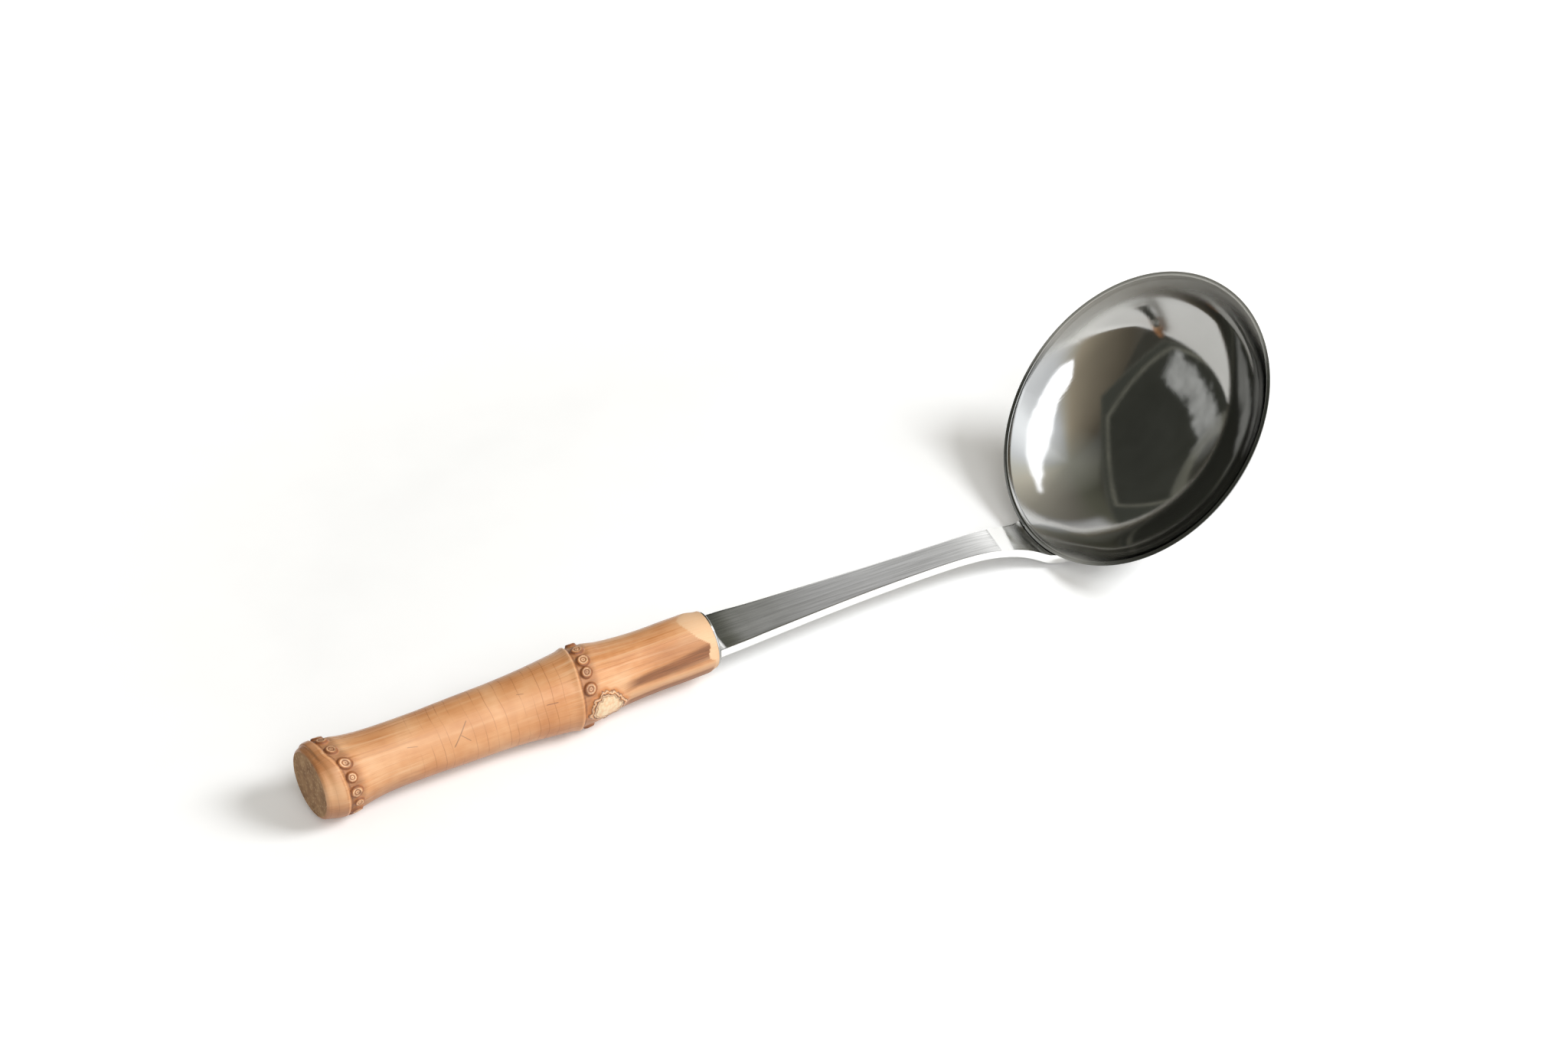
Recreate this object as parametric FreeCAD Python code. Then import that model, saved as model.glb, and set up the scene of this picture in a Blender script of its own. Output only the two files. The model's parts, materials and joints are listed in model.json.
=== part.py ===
import FreeCAD, Part
import math
import os

# A steel ladle with a bamboo-root handle. Millimetres, +Z up, +X from the handle to the bowl.
# It is drawn about the handle's axis, with zero at the handle's front end, and moved at the
# end so that the origin is the middle of the base of its bounding box, on the table.

Vec = FreeCAD.Vector
AXIS_X = Vec(1, 0, 0)
AXIS_Y = Vec(0, 1, 0)
AXIS_Z = Vec(0, 0, 1)

# Bowl: a pressed spherical dish whose mouth leans back towards the handle
rim_diameter = 95.0
bowl_depth = 26.0
bowl_wall = 0.9
mouth_lean = 45.2            # degrees between the mouth's axis and the vertical
rim_reach = 111.7            # handle's front end to the nearest point of the rim
rim_drop = 8.3               # that point below the handle's axis
rim_bevel = 0.15

# Shank: one flat bar, tapered, bent down near the bowl and flared under it
shank_thickness = 2.5
shank_rise = 1.6             # top face above the handle's axis, at the plate
root_width = 16.5
neck_width = 9.95
flare_width = 22.0
neck_setback = 36.7          # narrowest place to the nearest point of the rim
flare_overlap = 4.3          # the same point to the flare's widest place, under the bowl
tab_length = 18.3            # the same point to the end of the round tab under the bowl
rim_gap = 0.1                # top face below the rim's edge, where it passes under
blank_margin = 0.3           # width of the bent blank outside the cut outline, each side
seat_overlap = 0.3           # how far the blank stands into the bowl's wall before it is dished

# Bolster plate, tang and the joint at the shank's root
plate_diameter = 16.5
plate_thickness = 0.8
plate_bevel = 0.2
root_fillet = 2.0
root_weld_inset = 0.35       # the bead stops short of the shank's sides
tang_diameter = 5.0
tang_depth = 42.0            # below the handle's front face
bore_diameter = 6.6
bore_depth = 44.0
drill_point = 1.8

# Weld round the tab, on the bowl's outer wall
weld_width = 1.2
weld_height = 1.0
weld_setback = 3.0           # the bead starts this far behind the rim

# Bamboo handle: two internodes and two root-bearing nodes
handle_length = 121.6
mid_node = 42.6              # front end to the middle node's lip
butt_stub = 7.6              # butt face to the butt node's lip
front_radius = 9.2
upper_waist_radius = 9.25    # internode in front of the middle node
lower_waist_radius = 9.1     # internode behind it, which the hand holds
mid_lip_radius = 11.9
mid_band_radius = 11.4
mid_band_width = 5.4
butt_lip_radius = 11.45
butt_band_radius = 10.9
butt_band_width = 4.2
lip_width = 0.6
butt_face_radius = 10.1
butt_round = 0.9

# Root nubs: one ring in front of each node's lip
mid_nub_radius = 1.95
mid_nub_top = 12.25          # nub's end from the handle's axis
butt_nub_radius = 1.7
butt_nub_top = 11.35
nub_taper = 0.35             # how much smaller the nub's end is than its foot
nub_root = 1.6               # how deep each nub is rooted

# Cut branch stump and the furrow that runs from it to the front end
stump_setback = 7.2          # its centre in front of the middle node's lip
stump_radius = 4.3
stump_stretch = 1.35         # long axis of the oval over its short axis
stump_top = 11.0
stump_root = 5.0
stump_angle = 97.0
furrow_radius = 6.5
furrow_depth = 0.7
furrow_angle = 96.0
furrow_setback = 8.4         # its rear end in front of the stump's centre

# Knife-cut facets round the front end
facet_count = 9
facet_inset = 8.5            # front face's centre to a facet, at the front end
facet_angle = 6.0
facet_length = 12.0
facet_lean = 1.6             # degrees: the top is cut back more than the bottom

overrun = 5.0                # how far cutters reach past what they cut

foot_flat = 0.3              # dressed off the middle node's lowest nubs, where the ladle lies on a table

# Worked out from the sizes above
rim_radius = rim_diameter / 2
neck_reach = rim_reach - neck_setback
flare_reach = rim_reach + flare_overlap
tab_reach = rim_reach + tab_length
butt_node = handle_length - butt_stub
stump_reach = mid_node - stump_setback
furrow_start = stump_reach - furrow_setback
rest_drop = mid_nub_top - foot_flat
plate_radius = plate_diameter / 2
dish_radius = (rim_radius ** 2 + bowl_depth ** 2) / (2 * bowl_depth)
lean = math.radians(mouth_lean)
mouth_axis = Vec(-math.sin(lean), 0, math.cos(lean))
to_low_point = Vec(-math.cos(lean), 0, -math.sin(lean))
rim_low_point = Vec(rim_reach, 0, -rim_drop)
rim_center = rim_low_point - to_low_point * rim_radius
dish_center = rim_center + mouth_axis * (dish_radius - bowl_depth)

# The shank's top line from the plate to the rim, at even steps: share of the whole fall
fall_shares = [0, 0.008, 0.026, 0.042, 0.053, 0.063, 0.074, 0.086, 0.100, 0.117,
               0.136, 0.156, 0.179, 0.207, 0.247, 0.318, 0.453, 0.680, 1]
# How much of the bowl's roundness the shank has taken, at the last of those steps
dish_shares = [0.1, 0.4, 0.9]
# Half outline from above: share of the way from root to neck, share of the width lost between
# them that is still there, and the same from neck to flare for the width gained
root_to_neck_shares = [(0.0, 1.0), (0.107, 0.90), (0.213, 0.70), (0.373, 0.49), (0.587, 0.25), (0.8, 0.08)]
neck_to_flare_shares = [(0.0, 0.0), (0.22, 0.01), (0.415, 0.07), (0.56, 0.16), (0.707, 0.28),
                        (0.805, 0.48), (0.9, 0.8)]
# Internode behind the middle node: share of the way from the butt band to the middle lip, and
# the swelling as a share of what the nearer end stands above the waist
lower_swell_shares = [(0.055, 0.60), (0.14, 0.17), (0.28, 0.0), (0.47, 0.08), (0.68, 0.22), (0.84, 0.48)]
# Internode in front of the middle node, from the node's band to the front end
upper_swell_shares = [(0.12, 0.45), (0.3, 0.17), (0.6, 0.0)]
# Angles of the root nubs about the handle, from the top towards the near side
mid_nub_angles = [318, 351, 14, 34, 56, 146, 168.5, 191.5, 215, 241, 266, 292]
butt_nub_angles = [343, 9, 36, 58, 81, 101, 124, 147, 168.5, 191.5, 214, 238, 262, 288, 315]


def spline(points):
    curve = Part.BSplineCurve()
    curve.interpolate(points)
    return curve.toShape()


def line(a, b):
    return Part.LineSegment(a, b).toShape()


def radial(angle):
    """Unit vector square to the handle's axis, turned from the top towards the near side."""
    a = math.radians(angle)
    return Vec(0, -math.sin(a), math.cos(a))


def dressed_flat(shape):
    """Take off what would reach below the table."""
    floor = Part.makeBox(2 * rim_diameter + 2 * handle_length, rim_diameter, rim_diameter,
                         Vec(-handle_length - rim_radius, -rim_radius, -rest_drop - rim_diameter))
    return shape.cut(floor)


def drawn_about_mouth(shape):
    """Turn a shape drawn about +Z, mouth up, onto the bowl's own axis and rim centre."""
    shape.rotate(Vec(0, 0, 0), AXIS_Y, -mouth_lean)
    shape.translate(rim_center)
    return shape


def dish_under(x):
    """Height of the bowl's outer wall under its middle line."""
    return dish_center.z - math.sqrt(dish_radius ** 2 - (x - dish_center.x) ** 2)


def cap_solid(radius, depth):
    """Solid dish: the space inside a sphere below a flat mouth."""
    ball = Part.makeSphere(radius, Vec(0, 0, radius - depth))
    size = radius + overrun
    slab = Part.makeBox(2 * size, 2 * size, 2 * size, Vec(-size, -size, -2 * size))
    return ball.common(slab)


def make_bowl():
    """Dish turned about its own axis, with the two edges of its flat rim bevelled."""
    mouth = dish_radius - bowl_depth
    inner_radius = dish_radius - bowl_wall
    inner_rim = math.sqrt(inner_radius ** 2 - mouth ** 2)

    def on_dish(radius, turn):
        return Vec(math.sin(turn), 0, math.cos(turn)) * radius + AXIS_Z * mouth

    def turn_at(radius, rim):
        return math.atan2(rim, -mouth) + rim_bevel / radius

    turn_out, turn_in = turn_at(dish_radius, rim_radius), turn_at(inner_radius, inner_rim)
    edge_out, edge_in = on_dish(dish_radius, turn_out), on_dish(inner_radius, turn_in)
    flat_out, flat_in = Vec(rim_radius - rim_bevel, 0, 0), Vec(inner_rim + rim_bevel, 0, 0)
    low_out, low_in = on_dish(dish_radius, math.pi), on_dish(inner_radius, math.pi)
    outer = Part.Arc(low_out, on_dish(dish_radius, (math.pi + turn_out) / 2), edge_out).toShape()
    inner = Part.Arc(edge_in, on_dish(inner_radius, (math.pi + turn_in) / 2), low_in).toShape()
    wire = Part.Wire([outer, line(edge_out, flat_out), line(flat_out, flat_in), line(flat_in, edge_in),
                      inner, line(low_in, low_out)])
    return drawn_about_mouth(Part.Face(wire).revolve(Vec(0, 0, 0), AXIS_Z, 360))


def outline_half(widening=0.0):
    """Points along one side of the shank, seen from above, from the root to the flare."""
    points = []
    for along, left in root_to_neck_shares:
        x = plate_thickness + (neck_reach - plate_thickness) * along
        width = neck_width + (root_width - neck_width) * left
        points.append(Vec(x, width / 2 + widening, 0))
    for along, gained in neck_to_flare_shares:
        x = neck_reach + (flare_reach - neck_reach) * along
        width = neck_width + (flare_width - neck_width) * gained
        points.append(Vec(x, width / 2 + widening, 0))
    points.append(Vec(flare_reach, flare_width / 2 + widening, 0))
    return points


def mirrored(points):
    return [Vec(p.x, -p.y, p.z) for p in points]


def outline_prism(widening=0.0):
    """Upright prism on the shank's outline, with its round nose under the bowl."""
    half = outline_half(widening)
    other = mirrored(half)
    nose = Part.Arc(half[-1], Vec(tab_reach + widening, 0, 0), other[-1]).toShape()
    wire = Part.Wire([spline(half), nose, spline(other[::-1]), line(other[0], half[0])])
    prism = Part.Face(wire).extrude(AXIS_Z * (2 * rim_diameter))
    prism.translate(AXIS_Z * -rim_diameter)
    return prism


def shank_stations():
    """Places along the shank: reach, top height on the middle line, share of the dish's roundness."""
    fall = shank_rise + rim_drop + rim_gap
    step = (rim_reach - plate_thickness) / (len(fall_shares) - 1)
    dished = [0] * (len(fall_shares) - len(dish_shares)) + dish_shares
    stations = []
    for i, (fallen, share) in enumerate(zip(fall_shares, dished)):
        stations.append((plate_thickness + step * i, shank_rise - fall * fallen, share))
    for x in (rim_reach + step / 2, rim_reach + step):
        stations.append((x, dish_under(x) + seat_overlap, 1))
    return stations


def shell_under_bowl(start, thickness, widening=0.0):
    """Layer on the bowl's outer wall, inside the shank's outline and past a given reach."""
    layer = Part.makeSphere(dish_radius + thickness, dish_center)
    layer = layer.cut(Part.makeSphere(dish_radius, dish_center))
    corner = Vec(start, -rim_radius, dish_center.z - dish_radius - rim_radius)
    block = Part.makeBox(tab_reach + overrun - start, rim_diameter, rim_diameter, corner)
    return layer.common(block).common(outline_prism(widening))


def make_shank():
    """Bent bar as a loft up to the rim, then a tab that follows the bowl's wall."""
    stations = shank_stations()
    half_width = flare_width / 2 + blank_margin
    roundness = dish_radius - math.sqrt(dish_radius ** 2 - half_width ** 2)
    wires = []
    for i, (x, top, dished) in enumerate(stations):
        before, after = stations[max(i - 1, 0)], stations[min(i + 1, len(stations) - 1)]
        slope = (after[1] - before[1]) / (after[0] - before[0])
        depth = shank_thickness * math.hypot(1, slope)
        sag = roundness * dished
        upper = [Vec(x, -half_width, top + sag), Vec(x, 0, top), Vec(x, half_width, top + sag)]
        lower = [p - AXIS_Z * depth for p in upper]
        wires.append(Part.Wire([
            spline(upper), line(upper[-1], lower[-1]), spline(lower[::-1]), line(lower[0], upper[0])]))
    bar = Part.makeLoft(wires, True, False).common(outline_prism())
    bar = bar.cut(drawn_about_mouth(cap_solid(dish_radius, bowl_depth)))
    tab = shell_under_bowl(rim_reach + seat_overlap, shank_thickness)
    return dressed_flat(bar.fuse(tab).removeSplitter())


def make_bowl_weld(shank):
    """Bead round the tab's nose, laid on the bowl's outer wall."""
    return shell_under_bowl(rim_reach + weld_setback, weld_height, weld_width).cut(shank)


def make_bolster_plate():
    plate = Part.makeCylinder(plate_radius, plate_thickness, Vec(0, 0, 0), AXIS_X)
    rims = [e for e in plate.Edges if e.BoundBox.YLength > plate_radius]
    plate = plate.makeChamfer(plate_bevel, rims)
    return plate.cut(Part.makeCylinder(tang_diameter / 2, plate_thickness, Vec(0, 0, 0), AXIS_X))


def make_root_weld(shank):
    """Hollow bead above and below the shank, from its faces to the plate's face."""
    half_width = root_width / 2 - root_weld_inset
    length = root_fillet + plate_thickness
    disc = Part.makeCylinder(plate_radius - plate_bevel, length, Vec(0, 0, 0), AXIS_X)
    beads = []
    for side, face in ((1, shank_rise), (-1, shank_rise - shank_thickness)):
        foot = Vec(plate_thickness, -half_width, face - side * shank_thickness / 4)
        top = Vec(plate_thickness, -half_width, face + side * root_fillet)
        toe = Vec(plate_thickness + root_fillet, -half_width, face)
        under_toe = Vec(toe.x, -half_width, foot.z)
        hollow = Vec(toe.x, -half_width, top.z) - Vec(1, 0, side) * (root_fillet * math.sqrt(0.5))
        curve = Part.Arc(top, hollow, toe).toShape()
        wire = Part.Wire([line(foot, top), curve, line(toe, under_toe), line(under_toe, foot)])
        bead = Part.Face(wire).extrude(AXIS_Y * (2 * half_width))
        beads.append(bead.common(disc).cut(shank))
    return Part.makeCompound([solid for bead in beads for solid in bead.Solids])


def make_tang_rod():
    rod = Part.makeCylinder(tang_diameter / 2, tang_depth + plate_thickness, Vec(-tang_depth, 0, 0), AXIS_X)
    tip = [e for e in rod.Edges if abs(e.BoundBox.XMax + tang_depth) < plate_bevel]
    return rod.makeChamfer(plate_bevel * 2, tip)


def bore_solid():
    bore = Part.makeCylinder(bore_diameter / 2, bore_depth, Vec(-bore_depth, 0, 0), AXIS_X)
    point = Part.makeCone(bore_diameter / 2, 0, drill_point, Vec(-bore_depth, 0, 0), -AXIS_X)
    return bore.fuse(point)


def make_adhesive(tang):
    return bore_solid().cut(tang)


def handle_profile():
    """Half outline of the handle, from the butt face to the front end: reach and radius."""
    def at(reach, radius):
        return Vec(-reach, 0, radius)

    butt_foot = butt_node - lip_width
    butt_band_end = butt_foot - butt_band_width
    mid_foot = mid_node - lip_width
    mid_band_end = mid_foot - mid_band_width
    face = at(handle_length, butt_face_radius - butt_round)
    face_edge = at(handle_length - butt_round, butt_face_radius)
    shoulder = butt_round * (1 - math.sqrt(0.5))
    corner = at(handle_length - shoulder, butt_face_radius - shoulder)
    butt_lip = at(butt_node, butt_lip_radius)
    mid_lip = at(mid_node, mid_lip_radius)

    middle = at((handle_length + 2 * butt_node) / 3, (butt_face_radius + 2 * butt_lip_radius) / 3)
    swell = [face_edge, middle, butt_lip]
    lower = [at(butt_band_end, butt_band_radius)]
    span = butt_band_end - mid_node
    for along, share in lower_swell_shares:
        end_radius = butt_band_radius if along < 0.5 else mid_lip_radius
        radius = lower_waist_radius + (end_radius - lower_waist_radius) * share
        lower.append(at(butt_band_end - span * along, radius))
    lower.append(mid_lip)
    upper = [at(mid_band_end, mid_band_radius)]
    for along, share in upper_swell_shares:
        radius = upper_waist_radius + (mid_band_radius - upper_waist_radius) * share
        upper.append(at(mid_band_end * (1 - along), radius))
    upper.append(at(0, front_radius))

    return Part.Wire([
        line(at(handle_length, 0), face), line(face, corner), line(corner, face_edge), spline(swell),
        line(butt_lip, at(butt_foot, butt_band_radius)), line(at(butt_foot, butt_band_radius), lower[0]),
        spline(lower), line(mid_lip, at(mid_foot, mid_band_radius)),
        line(at(mid_foot, mid_band_radius), upper[0]), spline(upper),
        line(upper[-1], at(0, 0)), line(at(0, 0), at(handle_length, 0))])


def make_nub(reach, angle, radius, top):
    out = radial(angle)
    foot = Vec(-reach, 0, 0) + out * (top - nub_root)
    return Part.makeCone(radius, radius - nub_taper, nub_root, foot, out)


def make_stump():
    """Oval stub of the cut branch, drawn upright and turned to its place."""
    stub = Part.makeCylinder(stump_radius, stump_top - stump_root, Vec(0, 0, stump_root), AXIS_Z)
    matrix = FreeCAD.Matrix()
    matrix.scale(stump_stretch, 1, 1)
    stub = stub.transformGeometry(matrix)
    stub.rotate(Vec(0, 0, 0), AXIS_X, stump_angle)
    stub.translate(Vec(-stump_reach, 0, 0))
    return stub


def facet_block():
    """Tapered many-sided block that leaves the knife facets at the front end."""
    def ring(x, inset):
        corner = inset / math.cos(math.pi / facet_count)
        turns = [2 * math.pi * (i + 0.5) / facet_count for i in range(facet_count + 1)]
        return Part.makePolygon([Vec(x, -corner * math.sin(t), corner * math.cos(t)) for t in turns])

    growth = math.tan(math.radians(facet_angle)) * facet_length
    front = Part.makeLoft([ring(overrun, facet_inset - growth * overrun / facet_length),
                           ring(-facet_length, facet_inset + growth)], True, True)
    front.rotate(Vec(0, 0, 0), AXIS_Y, -facet_lean)
    rear_start = -facet_length + overrun
    rear = Part.makeBox(handle_length, 4 * mid_nub_top, 4 * mid_nub_top,
                        Vec(rear_start - handle_length, -2 * mid_nub_top, -2 * mid_nub_top))
    return front.fuse(rear)


def make_handle():
    body = Part.Face(handle_profile()).revolve(Vec(0, 0, 0), AXIS_X, 360)
    furrow = Part.makeCylinder(furrow_radius, furrow_start + overrun, Vec(-furrow_start, 0, 0), AXIS_X)
    furrow = furrow.fuse(Part.makeSphere(furrow_radius, Vec(-furrow_start, 0, 0)))
    furrow.translate(radial(furrow_angle) * (upper_waist_radius + furrow_radius - furrow_depth))
    body = body.cut(furrow)
    body = body.common(facet_block())
    mid_reach = mid_node - lip_width - mid_band_width / 2
    butt_reach = butt_node - lip_width - butt_band_width / 2
    nubs = [make_nub(mid_reach, a, mid_nub_radius, mid_nub_top) for a in mid_nub_angles]
    nubs += [make_nub(butt_reach, a, butt_nub_radius, butt_nub_top) for a in butt_nub_angles]
    body = body.fuse(nubs + [make_stump()])
    return dressed_flat(body.cut(bore_solid()))


shank = make_shank()
tang = make_tang_rod()
pieces = {
    "bowl": make_bowl(),
    "bowl_weld": make_bowl_weld(shank),
    "shank": shank,
    "root_weld": make_root_weld(shank),
    "bolster_plate": make_bolster_plate(),
    "tang_rod": tang,
    "handle_adhesive": make_adhesive(tang),
    "handle": make_handle(),
}

# The origin goes to the middle of the base of the whole ladle
box = Part.makeCompound(list(pieces.values())).optimalBoundingBox(False, False)
to_base = Vec(-(box.XMin + box.XMax) / 2, -(box.YMin + box.YMax) / 2, -box.ZMin)
os.makedirs("parts", exist_ok=True)
for name, shape in pieces.items():
    shape.translate(to_base)
    print(name, "valid", shape.isValid(), "solids", len(shape.Solids), "volume", round(shape.Volume, 1))
    shape.exportStep("parts/" + name + ".step")
print("moved by", round(to_base.x, 3), round(to_base.y, 3), round(to_base.z, 3))
print("size", round(box.XLength, 2), round(box.YLength, 2), round(box.ZLength, 2))
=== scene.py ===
import json
import math

import bpy
from mathutils import Matrix, Vector

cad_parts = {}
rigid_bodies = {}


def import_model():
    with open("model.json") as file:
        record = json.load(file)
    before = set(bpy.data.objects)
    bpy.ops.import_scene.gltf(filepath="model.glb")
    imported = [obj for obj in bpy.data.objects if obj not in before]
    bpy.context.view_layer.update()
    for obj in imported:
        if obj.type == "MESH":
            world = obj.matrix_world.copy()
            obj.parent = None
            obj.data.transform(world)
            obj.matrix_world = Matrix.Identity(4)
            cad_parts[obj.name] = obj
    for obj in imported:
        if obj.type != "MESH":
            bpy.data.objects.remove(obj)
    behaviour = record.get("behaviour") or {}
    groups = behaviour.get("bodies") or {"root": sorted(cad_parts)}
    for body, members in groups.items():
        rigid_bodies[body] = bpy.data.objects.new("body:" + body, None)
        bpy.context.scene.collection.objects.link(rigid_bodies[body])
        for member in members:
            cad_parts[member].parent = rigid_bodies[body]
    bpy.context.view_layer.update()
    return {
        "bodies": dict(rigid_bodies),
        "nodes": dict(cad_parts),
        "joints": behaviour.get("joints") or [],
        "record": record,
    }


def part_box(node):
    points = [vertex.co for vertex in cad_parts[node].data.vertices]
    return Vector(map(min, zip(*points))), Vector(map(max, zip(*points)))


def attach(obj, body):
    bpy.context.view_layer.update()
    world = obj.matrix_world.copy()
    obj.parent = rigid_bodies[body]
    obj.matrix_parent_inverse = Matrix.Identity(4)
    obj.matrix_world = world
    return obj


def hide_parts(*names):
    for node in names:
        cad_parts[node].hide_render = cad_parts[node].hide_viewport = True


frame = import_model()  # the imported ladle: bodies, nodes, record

nodes = frame["nodes"]
scene = bpy.context.scene
bpy.ops.object.select_all(action="DESELECT")

mm = 0.001
plateLow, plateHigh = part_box("bolster_plate")
axisStart = Vector((plateLow.x, 0, (plateLow.z + plateHigh.z) / 2))  # handle's front end, on its axis


def place(x, y, z):
    return axisStart + Vector((x, y, z)) * mm


def select(obj):
    bpy.ops.object.select_all(action="DESELECT")
    bpy.context.view_layer.objects.active = obj
    obj.select_set(True)
    return obj


def smoothStep(low, high, value):
    t = min(max((value - low) / (high - low), 0.0), 1.0)
    return t * t * (3 - 2 * t)


def throughTable(table, value):
    if value <= table[0][0]:
        return table[0][1]
    if value >= table[-1][0]:
        return table[-1][1]
    for i in range(len(table) - 1):
        (x1, y1), (x2, y2) = table[i], table[i + 1]
        if value <= x2:
            x0, y0 = table[i - 1] if i else (2 * x1 - x2, 2 * y1 - y2)
            x3, y3 = table[i + 2] if i + 2 < len(table) else (2 * x2 - x1, 2 * y2 - y1)
            m1 = (y2 - y0) / (x2 - x0) * (x2 - x1)
            m2 = (y3 - y1) / (x3 - x1) * (x2 - x1)
            t = (value - x1) / (x2 - x1)
            return ((2 * t ** 3 - 3 * t * t + 1) * y1 + (t ** 3 - 2 * t * t + t) * m1
                    + (3 * t * t - 2 * t ** 3) * y2 + (t ** 3 - t * t) * m2)


def roundTable(table, angle):
    angle = (angle + 180) % 360 - 180
    wrapped = [(a - 360, v) for a, v in table[-2:]] + table + [(a + 360, v) for a, v in table[:2]]
    return throughTable(wrapped, angle)


def finished(obj, slotName, *replaced):
    obj.data.name = obj.name
    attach(obj, "root")
    if replaced:
        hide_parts(*replaced)
    return obj


def applyModifier(obj, kind, **settings):
    modifier = select(obj).modifiers.new(kind.title(), kind)
    for key, value in settings.items():
        setattr(modifier, key, value)
    bpy.ops.object.modifier_apply(modifier=modifier.name)


class Shader:
    def __init__(self, name):
        self.material = bpy.data.materials.new(name)
        self.material.use_nodes = True
        self.tree = self.material.node_tree
        self.main = self.tree.nodes["Principled BSDF"]

    def node(self, kind, inputs=None, **settings):
        made = self.tree.nodes.new(kind)
        for key, value in settings.items():
            setattr(made, key, value)
        for key, value in (inputs or {}).items():
            self.feed(made.inputs[key], value)
        return made

    def feed(self, socket, value):
        if isinstance(value, bpy.types.NodeSocket):
            self.tree.links.new(value, socket)
        else:
            socket.default_value = value

    def math(self, operation, a, b=0.0, c=0.0):
        return self.node("ShaderNodeMath", {0: a, 1: b, 2: c}, operation=operation).outputs[0]

    def product(self, first, *others):
        for other in others:
            first = self.math("MULTIPLY", first, other)
        return first

    def split(self, vector):
        return self.node("ShaderNodeSeparateXYZ", {"Vector": vector}).outputs

    def ramp(self, value, stops, smooth=False, span=1.0):
        if span != 1.0:
            value = self.math("MULTIPLY", value, 1 / span)
        made = self.node("ShaderNodeValToRGB", {"Fac": value})
        elements = made.color_ramp.elements
        made.color_ramp.interpolation = "CARDINAL" if smooth else "LINEAR"
        while len(elements) < len(stops):
            elements.new(0.5)
        for element, (position, colour) in zip(elements, stops):
            element.position = position / span
            if isinstance(colour, (int, float)):
                colour = (colour, colour, colour)
            element.color = (*colour, 1)
        return made.outputs["Color"]

    def mix(self, share, a, b):
        made = self.node("ShaderNodeMix", data_type="RGBA")
        for socket, value in ((made.inputs[0], share), (made.inputs[6], a), (made.inputs[7], b)):
            if isinstance(value, tuple) and len(value) == 3:
                value = (*value, 1)
            self.feed(socket, value)
        return made.outputs[2]

    def coordinates(self, scale=(1, 1, 1), offset=(0, 0, 0)):
        source = self.node("ShaderNodeTexCoord").outputs["Object"]
        return self.node("ShaderNodeMapping", {
            "Vector": source, "Scale": scale, "Location": offset}).outputs[0]

    def attribute(self, name):
        return self.node("ShaderNodeAttribute", attribute_name=name).outputs["Vector"]

    def stretched(self, vector, scale, turn=(0, 0, 0)):
        return self.node("ShaderNodeMapping", {
            "Vector": vector, "Scale": scale, "Rotation": turn}).outputs[0]

    def dot(self, vector, direction):
        made = self.node("ShaderNodeVectorMath", {0: vector, 1: direction}, operation="DOT_PRODUCT")
        return made.outputs["Value"]

    def stroke(self, x, y, start, end, width):
        length = math.dist(start, end)
        dx, dy = (end[0] - start[0]) / length, (end[1] - start[1]) / length
        here = self.node("ShaderNodeCombineXYZ", {0: x, 1: y}).outputs[0]
        run = self.math("SUBTRACT", self.dot(here, (dx, dy, 0)), start[0] * dx + start[1] * dy)
        off = self.math("SUBTRACT", self.dot(here, (dy, -dx, 0)), start[0] * dy - start[1] * dx)
        across = self.ramp(self.math("ABSOLUTE", off), [(width * 0.5, 1.0), (width * 1.5, 0.0)])
        begun = self.ramp(run, [(0.0, 0.0), (0.3, 1.0)])
        unended = self.ramp(run, [(length - 0.5, 1.0), (length, 0.0)], span=length)
        return self.product(across, begun, unended)

    def noise(self, vector, scale, detail, rough):
        return self.node("ShaderNodeTexNoise", {
            "Vector": vector, "Scale": scale, "Detail": detail, "Roughness": rough}).outputs["Fac"]

    def bump(self, height, distance, strength=1.0, under=None):
        made = self.node("ShaderNodeBump", {"Height": height, "Distance": distance, "Strength": strength})
        if under is not None:
            self.feed(made.inputs["Normal"], under)
        return made.outputs["Normal"]

    def finish(self, **inputs):
        names = {"colour": "Base Color", "roughness": "Roughness", "metal": "Metallic",
                 "normal": "Normal", "specular": "Specular IOR Level"}
        for key, value in inputs.items():
            self.feed(self.main.inputs[names[key]], value)
        return self.material


mirrorPlan = {
    "middle": (123.6, 0, 46.8),  # the bowl's own centre, about which the wiping marks are laid
    "tints": ((0.43, 0.428, 0.415), (0.47, 0.468, 0.455)),
    "rough": (0.04, 0.095),
    "wallRough": (0.42, 0.42, 0.42),
    # painted reflection: the ring near the rim is painted paler and part non-metal for the dull tone its
    # steeper wall reflects
    "wallReflectionTint": (0.66, 0.655, 0.62),
    "wallMetal": 0.78,
}
swellPlan = {
    "start": 37.2,  # from here outwards the pressed wall turns up
    "end": 46.6,
    "power": 2.4,
    "rise": 2.15,
    "soft": (-0.55, 0.625, -0.555),  # towards this side the wall stays rounder
    "softFade": [(0.50, 1.0), (0.86, 0.12)],
    "near": (0.0, -1.0, 0.0),  # and towards this one
    "nearFade": [(0.30, 1.0), (0.60, 0.35), (0.85, 0.05)],
}


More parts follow.
